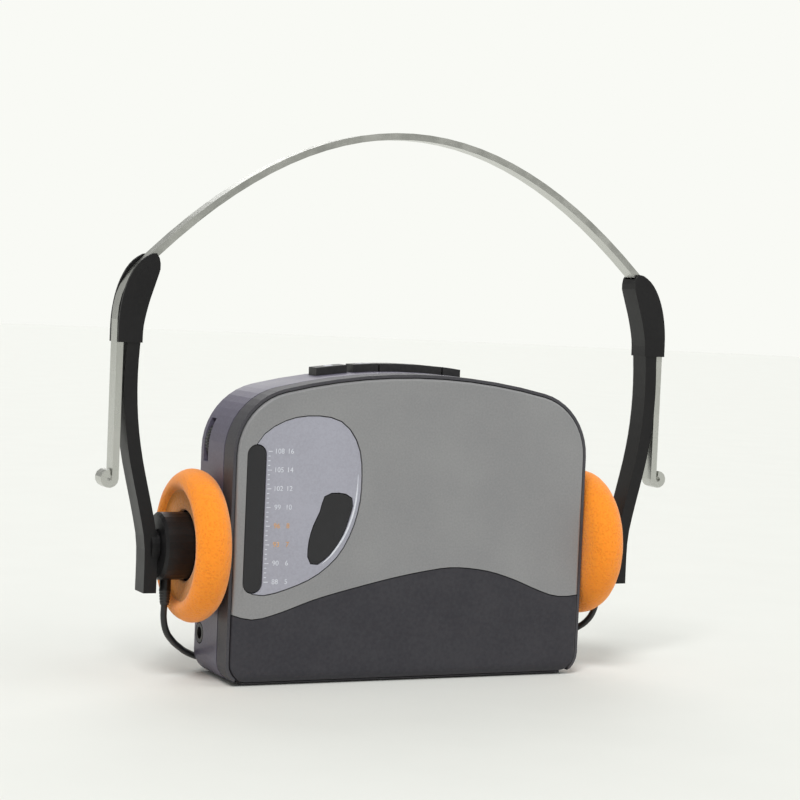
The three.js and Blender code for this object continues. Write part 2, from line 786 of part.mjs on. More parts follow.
const plugAxis = { y: plugStart[1], z: 2.6 };

function makePlugSleeve() {
  const x = plugStart[0];
  return turnedAcross([
    [0, x], [1.2, x], [1.5, x + 6], [2.5, x + 7], [2.5, x + 17], [2, x + 18], [0, x + 18],
  ], 20, 1, plugAxis);
}

function makePlugContact() {
  const x = plugStart[0] + 18 + fitGap;
  return turnedAcross([
    [0, x], [1.75, x], [1.75, x + 10.4], [1.3, x + 11.2], [1.75, x + 12.4], [0.6, x + 14], [0, x + 14],
  ], 16, 1, plugAxis);
}

// ---------- the assembly ----------

piece('back_shell', makeBackShell(), 'shell');
piece('battery_lid', makeBatteryLid(), 'shell');
screwPlaces.forEach(([x, z], i) => piece(`case_screw_${i + 1}`, makeScrew(x, z), 'steel'));
piece('function_switch', makeSwitch(), 'black');
piece('headphone_jack', makeSocket(-1, 1.85, false), 'black');
piece('power_socket', makeSocket(1, 2.1, true), 'black');
piece('door_catch', makeDoorCatch(), 'steel');

piece('door_frame', makeDoorFrame(), 'doorEdge');
piece('door_upper_cover', makeUpperCover(), 'upperGrey');
piece('door_lower_cover', makeLowerCover(), 'lowerGrey');
piece('dial_panel', makeDialPanel(), 'lavender');
piece('dial_window', plate(slotShape(0), -14.6, -13.2), 'smoke');
piece('tape_window', plate(smoothLoop(leafPoints, 0, 24), -14.6, -12.6), 'smoke');
piece('hinge_pin_left', rodAcross(0.8, [-56.5, -51.1], hinge, 12), 'steel');
piece('hinge_pin_right', rodAcross(0.8, [51.1, 56.5], hinge, 12), 'steel');

for (const key of keys) {
  const body = plate(caseOutline(-keyRise), ...keyDepth).intersect(block(key.x, [0, 20], [keyFoot, 100]));
  piece(key.name, body, 'black');
}
for (const side of [-1, 1]) {
  const place = { x: wheelPlace.x * side, z: wheelPlace.z };
  const y = [wheelPlace.y - wheelThickness / 2, wheelPlace.y + wheelThickness / 2];
  piece(side < 0 ? 'tuning_wheel' : 'volume_wheel', rodAlongY(wheelRadius, y, place, 36), 'black');
}
piece('dial_pointer', join(
  block([-53.9, -48.9], [-12.9, -10.2], [29.6, 37.4]),
  block([-53.9, -51.6], [-10.4, 1.6], [32.2, 34.8]),
), 'black');

piece('chassis_plate', makeChassis(), 'steel');
piece('supply_spindle', makeSpindle(hubSpacing / 2, 7), 'whitePlastic');
piece('takeup_spindle', makeSpindle(-hubSpacing / 2, takeupDiscRadius), 'whitePlastic');
piece('capstan_flywheel', makeCapstan(), 'steel');
piece('idler_wheel', turned([
  [0, 2.2], [1, 2.2], [1, driveLayer.front], [idlerRadius - rimGap, driveLayer.front],
  [idlerRadius - rimGap, driveLayer.back], [0, driveLayer.back],
], 28, idlerPlace), 'rubber');
const motorCan = rodAlongY(11, [7.1, 12.9], motorPlace, 32);
piece('motor', cut(motorCan, rodAlongY(1.2, [6, 8], motorPlace, 12)), 'steel');
piece('motor_pulley', makePulley(), 'brass');
piece('drive_belt', makeBelt(), 'rubber');
piece('head_plate', makeHeadPlate(), 'steel');
piece('playback_head', makeHead(), 'steel');
piece('pinch_arm', makePinchArm(), 'steel');
piece('pinch_roller', makePinchRoller(), 'rubber');
piece('circuit_board', makeCircuitBoard(), 'board');
piece('battery_cell_1', makeCell(cellHeights[0], -1), 'cellJacket');
piece('battery_cell_2', makeCell(cellHeights[1], 1), 'cellJacket');
piece('battery_spring', makeBatterySpring(), 'steel');
piece('battery_contact', makeBatteryContact(), 'steel');

for (const side of [-1, 1]) {
  const word = side < 0 ? 'left' : 'right';
  piece(`ear_pad_${word}`, makePad(side), 'foam');
  piece(`driver_housing_${word}`, makeHousing(side), 'black');
  piece(`arm_${word}`, makeArm(side), 'black');
  piece(`lead_${word}`, cord(leadRoute(side), leadRadius, 8), 'black');
}
piece('headband', makeHeadband(), 'steel');
piece('lead_splitter', makeSplitter(), 'black');
piece('main_lead_start', cord(leadToCoil, leadRadius, 8), 'black');
piece('main_lead_coil', makeCoil(), 'black');
piece('main_lead_end', cord(leadToPlug, leadRadius, 8), 'black');
piece('plug_sleeve', makePlugSleeve(), 'black');
piece('plug_contact', makePlugContact(), 'steel');

export default player;
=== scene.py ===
import math

import bmesh
import bpy
from mathutils import Matrix, Vector, noise


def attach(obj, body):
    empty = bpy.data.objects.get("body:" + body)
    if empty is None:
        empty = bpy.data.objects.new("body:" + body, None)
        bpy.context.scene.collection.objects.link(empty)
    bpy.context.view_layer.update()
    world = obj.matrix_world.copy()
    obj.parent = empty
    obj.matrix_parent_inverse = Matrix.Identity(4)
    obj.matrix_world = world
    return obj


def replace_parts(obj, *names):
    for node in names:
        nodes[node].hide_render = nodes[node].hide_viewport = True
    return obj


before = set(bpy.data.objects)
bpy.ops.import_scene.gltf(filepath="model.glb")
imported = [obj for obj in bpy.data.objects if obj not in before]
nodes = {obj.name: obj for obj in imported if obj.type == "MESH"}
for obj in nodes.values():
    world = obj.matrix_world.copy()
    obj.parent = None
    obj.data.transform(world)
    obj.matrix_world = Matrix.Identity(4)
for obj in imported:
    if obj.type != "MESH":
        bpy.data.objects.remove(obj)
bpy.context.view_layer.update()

mm = 0.001
scene = bpy.context.scene

# Camera: from the front left, a little above the table, leaning slightly.
camera = {"aim": (0.5, 0, 84), "yaw": -25, "rise": 3, "distance": 700, "roll": 2.4, "lens": 103}


def placeCamera():
    yaw = math.radians(camera["yaw"])
    rise = math.radians(camera["rise"])
    back = Vector((math.sin(yaw) * math.cos(rise), -math.cos(yaw) * math.cos(rise), math.sin(rise)))
    data = bpy.data.cameras.new("camera")
    data.lens = camera["lens"]
    data.clip_start = 0.01
    made = bpy.data.objects.new("camera", data)
    made.rotation_mode = "QUATERNION"
    lean = Matrix.Rotation(math.radians(camera["roll"]), 4, "Z").to_quaternion()
    made.rotation_quaternion = (-back).to_track_quat("-Z", "Y") @ lean
    made.location = Vector(camera["aim"]) * mm + back * camera["distance"] * mm
    scene.collection.objects.link(made)
    scene.camera = made


placeCamera()
scene.view_settings.view_transform = "Standard"
print("camera placed")


# Materials are made from these three small helpers.
def srgb(code, alpha=1.0):
    values = [int(code[i:i + 2], 16) / 255 for i in (1, 3, 5)]
    return [v / 12.92 if v <= 0.04045 else ((v + 0.055) / 1.055) ** 2.4 for v in values] + [alpha]


def addNode(tree, kind, links=None, values=None, **settings):
    made = tree.nodes.new(kind)
    for name, value in settings.items():
        setattr(made, name, value)
    for name, value in (values or {}).items():
        made.inputs[name].default_value = value
    for name, source in (links or {}).items():
        tree.links.new(source, made.inputs[name])
    return made


def startMaterial(name, surface):
    made = bpy.data.materials.new(name)
    made.use_nodes = True
    tree = made.node_tree
    shader = tree.nodes["Principled BSDF"]
    for socket, value in surface.items():
        shader.inputs[socket].default_value = value
    place = addNode(tree, "ShaderNodeTexCoord").outputs["Object"]
    return made, tree, shader, place


# Moulded or sprayed plastic: two close colours in soft clouds, a fine grain in the bump and a gloss that
# changes a little from place to place, with sizes in millimetres.
def plasticSkin(name, light, dark, rough, grainMm, grainDepth, cloudMm=14, surface=None):
    made, tree, shader, place = startMaterial(name, surface or {})
    cloud = addNode(tree, "ShaderNodeTexNoise", {"Vector": place},
                    {"Scale": 1 / (cloudMm * mm), "Detail": 4.0})
    grain = addNode(tree, "ShaderNodeTexNoise", {"Vector": place},
                    {"Scale": 1 / (grainMm * mm), "Detail": 2.0})
    blend = addNode(tree, "ShaderNodeMath", {0: cloud.outputs["Fac"], 1: grain.outputs["Fac"]},
                    operation="ADD")
    ramp = addNode(tree, "ShaderNodeMapRange", {"Value": blend.outputs[0]},
                   {"From Min": 0.75, "From Max": 1.25})
    tone = addNode(tree, "ShaderNodeMix", {"Factor": ramp.outputs[0]}, data_type="RGBA")
    tone.inputs["A"].default_value = srgb(dark)
    tone.inputs["B"].default_value = srgb(light)
    tree.links.new(tone.outputs["Result"], shader.inputs["Base Color"])
    gloss = addNode(tree, "ShaderNodeMapRange", {"Value": cloud.outputs["Fac"]},
                    {"From Min": 0.3, "From Max": 0.7, "To Min": rough - 0.05, "To Max": rough + 0.07})
    tree.links.new(gloss.outputs[0], shader.inputs["Roughness"])
    bump = addNode(tree, "ShaderNodeBump", {"Height": grain.outputs["Fac"]},
                   {"Strength": 0.5, "Distance": grainDepth * mm})
    tree.links.new(bump.outputs[0], shader.inputs["Normal"])
    return made


# Rolled or turned metal: fine lines along one direction, with a slight change of tone between them.
def lineMetal(name, light, dark, rough, lineMm, stretch, surface):
    made, tree, shader, place = startMaterial(name, surface)
    scale = addNode(tree, "ShaderNodeMapping", {"Vector": place},
                    {"Scale": [s / (lineMm * mm) for s in stretch]})
    lines = addNode(tree, "ShaderNodeTexNoise", {"Vector": scale.outputs[0]},
                    {"Scale": 1.0, "Detail": 3.0})
    tone = addNode(tree, "ShaderNodeMix", {"Factor": lines.outputs["Fac"]}, data_type="RGBA")
    tone.inputs["A"].default_value = srgb(dark)
    tone.inputs["B"].default_value = srgb(light)
    tree.links.new(tone.outputs["Result"], shader.inputs["Base Color"])
    gloss = addNode(tree, "ShaderNodeMapRange", {"Value": lines.outputs["Fac"]},
                    {"From Min": 0.3, "From Max": 0.7, "To Min": rough - 0.06, "To Max": rough + 0.1})
    tree.links.new(gloss.outputs[0], shader.inputs["Roughness"])
    bump = addNode(tree, "ShaderNodeBump", {"Height": lines.outputs["Fac"]},
                   {"Strength": 0.2, "Distance": 0.03 * mm})
    tree.links.new(bump.outputs[0], shader.inputs["Normal"])
    return made


# ABS shell, injection moulded and sprayed: a satin purple-grey with a soft orange-peel surface.
shellPaint = plasticSkin("sprayedAbsShell", "#615D6E", "#555162", 0.42, 0.9, 0.05)
# ABS door frame, moulded in charcoal and left bare: a dull spark-eroded grain.
framePlastic = plasticSkin("erodedAbsFrame", "#4A494D", "#403F44", 0.52, 0.7, 0.07, 14,
                            {"Specular IOR Level": 0.3})
# ABS door cover, sprayed with silver-grey lacquer: even and satin, with a faint metallic flake.
coverLacquer = plasticSkin("lacqueredAbsCover", "#8C8C8D", "#828284", 0.4, 0.6, 0.03, 20,
                           {"Metallic": 0.12, "Coat Weight": 0.15, "Coat Roughness": 0.25})
# ABS lower cover, moulded with a leather-like grain: dark, with soft wide highlights.
lowerPlastic = plasticSkin("grainedAbsCover", "#38373C", "#302F35", 0.5, 1.1, 0.11, 14,
                            {"Specular IOR Level": 0.3})
# ABS dial plate, sprayed lavender grey and clear coated: smoother and paler than the cover.
dialLacquer = plasticSkin("coatedAbsDial", "#9F9FAB", "#9595A0", 0.33, 0.6, 0.02, 20,
                          {"Coat Weight": 0.3, "Coat Roughness": 0.15})
# ABS keys, moulded in black: a fine texture that fingers have polished a little.
keyPlastic = plasticSkin("mouldedAbsKey", "#302F30", "#232325", 0.42, 0.8, 0.06, 14,
                          {"Specular IOR Level": 0.35})
# Glass-filled nylon of the headphone arms, moulded in black: hard, with a satin shine.
armPlastic = plasticSkin("mouldedNylonArm", "#151415", "#0F0E10", 0.38, 1.2, 0.05, 14,
                          {"Specular IOR Level": 0.3})
# Acetal spindles and reel tables, moulded in natural white: slightly waxy.
spindlePlastic = plasticSkin("mouldedAcetalSpindle", "#DEDED6", "#CFCFC6", 0.4, 0.9, 0.03, 10,
                             {"Subsurface Weight": 0.1, "Subsurface Radius": (0.002, 0.002, 0.0018)})
# Nitrile rubber of the belt, idler and pinch roller, ground: dull and slightly dusty.
driveRubber = plasticSkin("groundNitrileRubber", "#2B2B2B", "#1C1C1C", 0.8, 0.6, 0.08)
# PVC jacket of the leads, extruded in black: smooth with long soft highlights.
leadJacket = plasticSkin("extrudedPvcLead", "#1D1D1E", "#141415", 0.38, 1.6, 0.03)
# Phenolic board with green solder mask, screen printed: glossy over a woven ground.
boardMask = plasticSkin("maskedPhenolicBoard", "#2F7241", "#245E34", 0.3, 1.3, 0.04, 6)
# Printed steel jacket of the cells: a smooth blue lacquer.
cellLacquer = plasticSkin("lacqueredCellJacket", "#42679F", "#365A92", 0.28, 1.5, 0.01, 8,
                           {"Coat Weight": 0.3})
# White pad-printed ink of the dial marks: opaque and matt, a little thin in places.
dialInk = plasticSkin("padPrintedInk", "#D9DBE2", "#C3C6D0", 0.6, 0.8, 0.02)
# The same ink in orange, for two rows of the numbers.
dialInkWarm = plasticSkin("padPrintedWarmInk", "#D9A66B", "#C9935A", 0.6, 0.8, 0.02)
# Smoked acrylic of the windows, cast and polished: dark, clear and glossy.
smokedAcrylic = plasticSkin("castSmokedAcrylic", "#2B2A2F", "#252429", 0.12, 2.5, 0.004, 12,
                            {"Transmission Weight": 0.55, "IOR": 1.49, "Specular IOR Level": 0.4})
# Spring steel of the headband, cold rolled and polished: bright with fine lines along the strip.
springSteel = lineMetal("rolledSpringSteel", "#D0D0CB", "#B4B5B0", 0.24, 1.4, (0.25, 2.2, 0.25),
                        {"Metallic": 1.0})
# Zinc-plated steel of the chassis and screws, pressed: pale and slightly cloudy.
zincSteel = lineMetal("platedZincSteel", "#CBCDCF", "#B6B8BC", 0.42, 2.2, (1, 1, 1),
                      {"Metallic": 0.85})
# Brass of the motor pulley, turned: warm, with rings from the lathe.
turnedBrass = lineMetal("turnedBrassPulley", "#CBA553", "#B8903E", 0.26, 0.8, (0.3, 2, 0.3),
                        {"Metallic": 1.0})
# Nickel plating of the plug, electroplated: near mirror.
plugNickel = lineMetal("platedNickelPlug", "#D9D6CE", "#C9C5BB", 0.18, 1.2, (2, 0.3, 0.3),
                       {"Metallic": 1.0})


# Polyether foam of the ear pads, cut open cell: orange, dull and full of pores half a millimetre wide, drawn
# at 0.8 mm so that they show.
def foamSkin(name, poreShade, light, mid):
    made, tree, shader, place = startMaterial(name, {"Roughness": 0.95, "Sheen Weight": 0.25,
                                              "Sheen Roughness": 0.5, "Subsurface Weight": 0.15,
                                              "Subsurface Radius": (0.004, 0.0018, 0.0008)})
    pores = addNode(tree, "ShaderNodeTexVoronoi", {"Vector": place}, {"Scale": 1 / (0.8 * mm)})
    cloud = addNode(tree, "ShaderNodeTexNoise", {"Vector": place}, {"Scale": 1 / (9 * mm), "Detail": 5.0})
    depth = addNode(tree, "ShaderNodeMapRange", {"Value": pores.outputs["Distance"]},
                    {"From Min": 0.05, "From Max": 0.55})
    # The pore hollows, lowest in the bump, take the darker colour: painted shade in the pores.
    tone = addNode(tree, "ShaderNodeMix", {"Factor": depth.outputs[0]}, data_type="RGBA")
    tone.inputs["A"].default_value = srgb(poreShade)
    tone.inputs["B"].default_value = srgb(light)
    warm = addNode(tree, "ShaderNodeMix", {"Factor": cloud.outputs["Fac"], "A": tone.outputs["Result"]},
                   data_type="RGBA")
    warm.inputs["B"].default_value = srgb(mid)
    tree.links.new(warm.outputs["Result"], shader.inputs["Base Color"])
    bump = addNode(tree, "ShaderNodeBump", {"Height": depth.outputs[0]},
                   {"Strength": 0.6, "Distance": 0.22 * mm})
    tree.links.new(bump.outputs[0], shader.inputs["Normal"])
    return made


earFoam = foamSkin("openCellFoam", "#EC8010", "#FC9622", "#F68C14")
# The same foam in a darker orange, as painted shade for the recess round the housing on the pad's outer face.
recessShadeFoam = foamSkin("shadedRecessFoam", "#B86F1C", "#D6872A", "#CC7E24")

finishOf = {
    shellPaint: ["back_shell", "battery_lid"],
    framePlastic: ["door_frame"],
    coverLacquer: ["door_upper_cover"],
    lowerPlastic: ["door_lower_cover"],
    dialLacquer: ["dial_panel"],
    smokedAcrylic: ["dial_window", "tape_window"],
    keyPlastic: ["stop_key", "rewind_key", "play_key", "forward_key", "tuning_wheel", "volume_wheel",
                 "dial_pointer", "function_switch", "headphone_jack", "power_socket"],
    armPlastic: ["arm_left", "arm_right", "driver_housing_left", "driver_housing_right"],
    springSteel: ["headband"],
    zincSteel: ["case_screw_1", "case_screw_2", "case_screw_3", "case_screw_4", "door_catch",
                "hinge_pin_left", "hinge_pin_right", "chassis_plate", "capstan_flywheel", "motor",
                "head_plate", "playback_head", "pinch_arm", "battery_spring", "battery_contact"],
    turnedBrass: ["motor_pulley"],
    driveRubber: ["idler_wheel", "drive_belt", "pinch_roller"],
    spindlePlastic: ["supply_spindle", "takeup_spindle"],
    boardMask: ["circuit_board"],
    cellLacquer: ["battery_cell_1", "battery_cell_2"],
    earFoam: ["ear_pad_left", "ear_pad_right"],
    leadJacket: ["lead_left", "lead_right", "lead_splitter", "main_lead_start", "main_lead_coil",
                 "main_lead_end", "plug_sleeve"],
    plugNickel: ["plug_contact"],
}


# Flat runs of facets are joined first, so that the rounding follows the real edges only. Angles are in
# degrees, and the widths in edgeWidths are in millimetres.
rounding = {"flat": 0.6, "corner": 32, "segments": 2}


def roundEdges(piece, width):
    flat = piece.modifiers.new("flatten", "DECIMATE")
    flat.decimate_type = "DISSOLVE"
    flat.angle_limit = math.radians(rounding["flat"])
    edge = piece.modifiers.new("edge", "BEVEL")
    edge.width = width * mm
    edge.segments = rounding["segments"]
    edge.limit_method = "ANGLE"
    edge.angle_limit = math.radians(rounding["corner"])
    edge.use_clamp_overlap = True
    shade = piece.modifiers.new("shade", "WEIGHTED_NORMAL")
    shade.keep_sharp = True
    piece.data.polygons.foreach_set("use_smooth", [True] * len(piece.data.polygons))


edgeWidths = {
    "back_shell": 0.3, "battery_lid": 0.3, "door_frame": 0.2, "door_upper_cover": 0.25,
    "door_lower_cover": 0.25, "dial_panel": 0.22, "dial_window": 0.35, "tape_window": 0.3,
    "stop_key": 0.45, "rewind_key": 0.45, "play_key": 0.45, "forward_key": 0.45,
    "function_switch": 0.2, "headphone_jack": 0.2, "power_socket": 0.2, "headband": 0.3,
    "arm_left": 0.7, "arm_right": 0.7, "driver_housing_left": 0.5, "driver_housing_right": 0.5,
    "chassis_plate": 0.15, "head_plate": 0.15, "playback_head": 0.3, "lead_splitter": 0.6,
    "circuit_board": 0.15, "supply_spindle": 0.12, "takeup_spindle": 0.12, "capstan_flywheel": 0.2,
    "motor": 0.4, "dial_pointer": 0.2, "pinch_arm": 0.15, "pinch_roller": 0.25, "door_catch": 0.1,
    "motor_pulley": 0.1, "idler_wheel": 0.1, "plug_sleeve": 0.25, "plug_contact": 0.12,
    "battery_cell_1": 0.4, "battery_cell_2": 0.4,
}
for finish, names in finishOf.items():
    for name in names:
        node = nodes[name]
        node.data.materials.clear()
        node.data.materials.append(finish)
        if name in edgeWidths:
            roundEdges(node, edgeWidths[name])
        else:
            node.data.polygons.foreach_set("use_smooth", [False] * len(node.data.polygons))
print("materials made and edges rounded")


# Leads: the side leads run from the housings behind the player to the splitter, and the main lead from there
# through a flat coil to the plug.
lead = {"diameter": 2, "floor": 1.05, "exit": 73, "coil": (27, 40), "rings": (14, 12, 10), "layers": 4,
        "step": 2, "perTurn": 18}


def sideRoute(side):
    low, out = lead["floor"], lead["exit"]
    return [(out * side, 0, 26.7), (out * side, 0.2, 22.5), (72.8 * side, 0.8, 18.4),
            (71.4 * side, 2.2, 14.4), (68.6 * side, 4.8, 11.2), (64.8 * side, 9, 8.4),
            (60.4 * side, 13.8, 5.8), (54.8 * side, 17.8, 3.5), (48 * side, 20.4, 1.7),
            (40 * side, 21.3, 1.08), (24 * side, 19.4, low), (13 * side, 18.8, low),
            (5.4 * side, 20.6, 1.3), (1.9 * side, 24, 1.9), (1.2 * side, 26.7, 2.2)]


# Each ring keeps its radius for most of a turn and moves to the next one in the last sixth of it.
def coilRoute():
    points = []
    radii = []
    for layer in range(lead["layers"]):
        order = lead["rings"] if layer % 2 == 0 else tuple(reversed(lead["rings"]))
        radii += [(r, lead["floor"] + layer * lead["step"]) for r in order]
    perTurn = lead["perTurn"]
    for i, (radius, height) in enumerate(radii):
        nextRadius, nextHeight = radii[i + 1] if i + 1 < len(radii) else (radius, height)
        for k in range(perTurn):
            share = max(0.0, (k / perTurn - 5 / 6) * 6)
            share = share * share * (3 - 2 * share)
            r = radius + (nextRadius - radius) * share
            z = height + (nextHeight - height) * share
            angle = math.pi / 2 - 2 * math.pi * k / perTurn
            points.append((lead["coil"][0] + r * math.cos(angle),
                           lead["coil"][1] + r * math.sin(angle), z))
    return points


def mainRoute():
    low = lead["floor"]
    start = [(0, 38.3, 2.2), (0.1, 41, 1.7), (1.2, 45.4, low), (4.6, 49.6, low), (9.6, 52.4, low),
             (14.9, 53.6, low), (21, 54.1, low)]
    end = [(27.6, 54, 7.0), (32.6, 53.9, 6.2), (38.6, 53.6, 3.8), (41.5, 53.2, 2.9), (44.4, 52.9, 2.6),
           (46.7, 52.8, 2.6)]
    return start + coilRoute() + end


def lengthOf(points):
    return sum((Vector(b) - Vector(a)).length for a, b in zip(points, points[1:])) * mm


def makeLead(name, points):
    data = bpy.data.curves.new(name, "CURVE")
    data.dimensions = "3D"
    data.bevel_depth = lead["diameter"] * mm / 2
    data.bevel_resolution = 3
    data.resolution_u = 4
    data.use_fill_caps = True
    spline = data.splines.new("BEZIER")
    spline.bezier_points.add(len(points) - 1)
    for knot, point in zip(spline.bezier_points, points):
        knot.co = Vector(point) * mm
        knot.handle_left_type = knot.handle_right_type = "AUTO"
    data.materials.append(leadJacket)
    made = bpy.data.objects.new(name, data)
    scene.collection.objects.link(made)
    return made


def addPiece(name, build, finish, body, smooth=True):
    data = bpy.data.meshes.new(name)
    build.normal_update()
    build.to_mesh(data)
    build.free()
    for one in finish if isinstance(finish, list) else [finish]:
        data.materials.append(one)
    data.polygons.foreach_set("use_smooth", [smooth] * len(data.polygons))
    made = bpy.data.objects.new(name, data)
    scene.collection.objects.link(made)
    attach(made, body)
    return made


# A body of revolution: the profile lists (radius, place along the axis) in millimetres.
def spin(build, profile, axis, centre, steps=64, close=False):
    turn = {"x": Matrix.Rotation(math.pi / 2, 3, "Y"), "z": Matrix.Identity(3)}[axis]
    rings = []
    for radius, along in profile:
        if radius < 1e-6:
            rings.append([build.verts.new(turn @ Vector((0, 0, along * mm)) + Vector(centre) * mm)])
            continue
        ring = []
        for i in range(steps):
            angle = 2 * math.pi * i / steps
            spot = Vector((radius * math.cos(angle), radius * math.sin(angle), along)) * mm
            ring.append(build.verts.new(turn @ spot + Vector(centre) * mm))
        rings.append(ring)
    pairs = list(zip(rings, rings[1:] + rings[:1])) if close else list(zip(rings, rings[1:]))
    for a, b in pairs:
        for i in range(steps):
            j = (i + 1) % steps
            corners = [a[i % len(a)], a[j % len(a)], b[j % len(b)], b[i % len(b)]]
            unique = list(dict.fromkeys(corners))
            if len(unique) > 2:
                build.faces.new(unique)
    bmesh.ops.recalc_face_normals(build, faces=build.faces)


# A ribbed boot where each side lead leaves its housing.
boot = {"top": 27.4, "bottom": 22.6, "wide": 1.75, "narrow": 1.25, "bore": 1.02, "ribs": 5, "pitch": 0.85,
        "lip": 0.12, "depth": 0.05}


def leadBoot(word, side):
    build = bmesh.new()
    z0, z1 = boot["bottom"], boot["top"]
    profile = [(boot["bore"], z0), (boot["narrow"], z0)]
    for i in range(boot["ribs"]):
        low = z0 + 0.5 + i * boot["pitch"]
        wide = boot["narrow"] + (boot["wide"] - boot["narrow"]) * (i + 1) / (boot["ribs"] + 1)
        proud = wide + boot["lip"]
        profile += [(wide, low), (proud, low + 0.2), (proud, low + 0.5), (wide, low + 0.65)]
    profile += [(boot["wide"], z1), (boot["bore"], z1)]
    spin(build, profile, "z", (lead["exit"] * side, boot["depth"], 0), 24, close=True)
    return addPiece(f"lead_boot_{word}", build, leadJacket, "root")


def layLeads():
    for word, side in (("left", -1), ("right", 1)):
        route = sideRoute(side)
        piece = makeLead(f"side_lead_{word}", route)
        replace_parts(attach(piece, "root"), f"lead_{word}")
        reliefPiece = leadBoot(word, side)
    route = mainRoute()
    piece = makeLead("main_lead", route)
    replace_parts(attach(piece, "root"), "main_lead_start", "main_lead_coil", "main_lead_end")
    tie = leadTie()
    print("leads laid, main lead", round(lengthOf(route), 3), "m, side leads",
          round(lengthOf(sideRoute(1)), 3), "m")


# A strap round one side of the coil, with rounded corners. Its middle is given from the coil's centre.
strap = {"middle": (12, 4.05), "corners": ((14.1, 7.2, 0), (9.9, 7.2, 90), (9.9, 0.9, 180), (14.1, 0.9, 270)),
         "bend": 1.05, "lowest": 0.04, "halfWidth": 2.2, "inset": (0.06, 0.93)}


def leadTie():
    build = bmesh.new()
    outline = []
    for cx, cz, start in strap["corners"]:
        for i in range(5):
            angle = math.radians(start + 22.5 * i)
            outline.append((cx + strap["bend"] * math.cos(angle),
                            max(strap["lowest"], cz + strap["bend"] * math.sin(angle))))
    (mx, mz), (draw, shrink) = strap["middle"], strap["inset"]
    inner = [(x + (mx - x) * draw, mz + (z - mz) * shrink) for x, z in outline]
    cx, cy = lead["coil"]
    rows = []
    for y in (-strap["halfWidth"], strap["halfWidth"]):
        rows.append([[build.verts.new(Vector((cx + x, cy + y, z)) * mm) for x, z in ring]
                     for ring in (outline, inner)])
    count = len(outline)
    for i in range(count):
        j = (i + 1) % count
        (a, b), (c, d) = rows
        build.faces.new((a[i], a[j], c[j], c[i]))
        build.faces.new((b[i], d[i], d[j], b[j]))
        build.faces.new((a[i], b[i], b[j], a[j]))
        build.faces.new((c[i], c[j], d[j], d[i]))
    bmesh.ops.recalc_face_normals(build, faces=build.faces)
    return addPiece("lead_tie", build, leadJacket, "root", smooth=False)


# The plug's contact: three nickel sleeves with two black rings between them.
plug = {"axis": (52.8, 2.6), "start": 65.3, "radius": 1.75, "groove": 1.62,
        "black": ((3.93, 4.62), (7.33, 8.02))}


def makePlug():
    x, wide, low = plug["start"], plug["radius"], plug["groove"]
    profile = [(0, x), (wide, x), (wide, x + 3.9), (low, x + 3.95), (low, x + 4.6), (wide, x + 4.65),
               (wide, x + 7.3), (low, x + 7.35), (low, x + 8), (wide, x + 8.05), (wide, x + 10.2),
               (1.6, x + 10.7), (1.3, x + 11.2), (1.45, x + 11.8), (1.75, x + 12.4), (1.5, x + 13),
               (0.9, x + 13.7), (0.5, x + 14), (0, x + 14)]
    build = bmesh.new()
    spin(build, profile, "x", (0, plug["axis"][0], plug["axis"][1]), 40)
    build.normal_update()
    for face in build.faces:
        along = face.calc_center_median().x / mm - x
        face.material_index = int(any(low < along < high for low, high in plug["black"]))
    made = addPiece("plug_tip", build, [plugNickel, leadJacket], "root")
    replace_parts(made, "plug_contact")
    return made


plugTip = makePlug()
layLeads()

# Ear pads: soft foam discs with a rolled rim, open in the middle of the outer face.
pad = {"height": 40, "lump": 0.2, "recess": 16.6, "recessFrom": 66}


# The profile runs from the face on the player's side round the rim to the housing's seat.
def makePad(word, side):
    profile = [(0, 58.85), (7, 58.82), (14, 58.85), (17.5, 59.1), (20.2, 60.1), (21.9, 61.9), (22.75, 64),
               (22.7, 66.3), (21.8, 68.4), (20.4, 69.8), (19, 70.5), (17.7, 70.4), (16.9, 69.8), (16.4, 68.8),
               (16.1, 68.2), (15.2, 68), (13, 67.9), (10.9, 67.8), (10.4, 67.6), (10.35, 66.2), (12, 66.15),
               (15.75, 66.1), (15.75, 61.95), (8, 61.95), (0, 61.95)]
    build = bmesh.new()
    spin(build, [(r, x * side) for r, x in profile], "x", (0, 0, pad["height"]), 72)
    build.normal_update()
    for face in build.faces:
        spot = face.calc_center_median() / mm
        away = math.hypot(spot.y, spot.z - pad["height"])
        # Faces in the recess round the housing take the darker foam: painted shade.
        face.material_index = int(away < pad["recess"] and abs(spot.x) > pad["recessFrom"])
    made = addPiece(f"foam_pad_{word}", build, [earFoam, recessShadeFoam], "root")
    smooth = made.modifiers.new("soften", "SUBSURF")
    smooth.levels = smooth.render_levels = 1
    for vert in made.data.vertices:
        centre = Vector((vert.co.x, 0, pad["height"] * mm))
        out = vert.co - centre
        if out.length > 0.011 and abs(vert.co.x) > 0.0595:
            lump = noise.noise(vert.co * 260) + 0.5 * noise.noise(vert.co * 700)
            vert.co += out.normalized() * lump * pad["lump"] * mm
    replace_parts(made, f"ear_pad_{word}")


for word, side in (("left", -1), ("right", 1)):
    makePad(word, side)
print("ear pads made")

# Thumbwheels: a moulded disc with a knurled rim.
wheel = {"ribs": 44, "depth": 0.32, "rimFrom": 6.6, "place": (51.6, 70),
         "profile": ((0, 7.6), (4.6, 7.6), (5.0, 7.5), (6.55, 7.5), (6.95, 7.85), (7, 8.2), (7, 9.8),
                     (6.95, 10.15), (6.55, 10.5), (5.0, 10.5), (4.6, 10.4), (0, 10.4))}


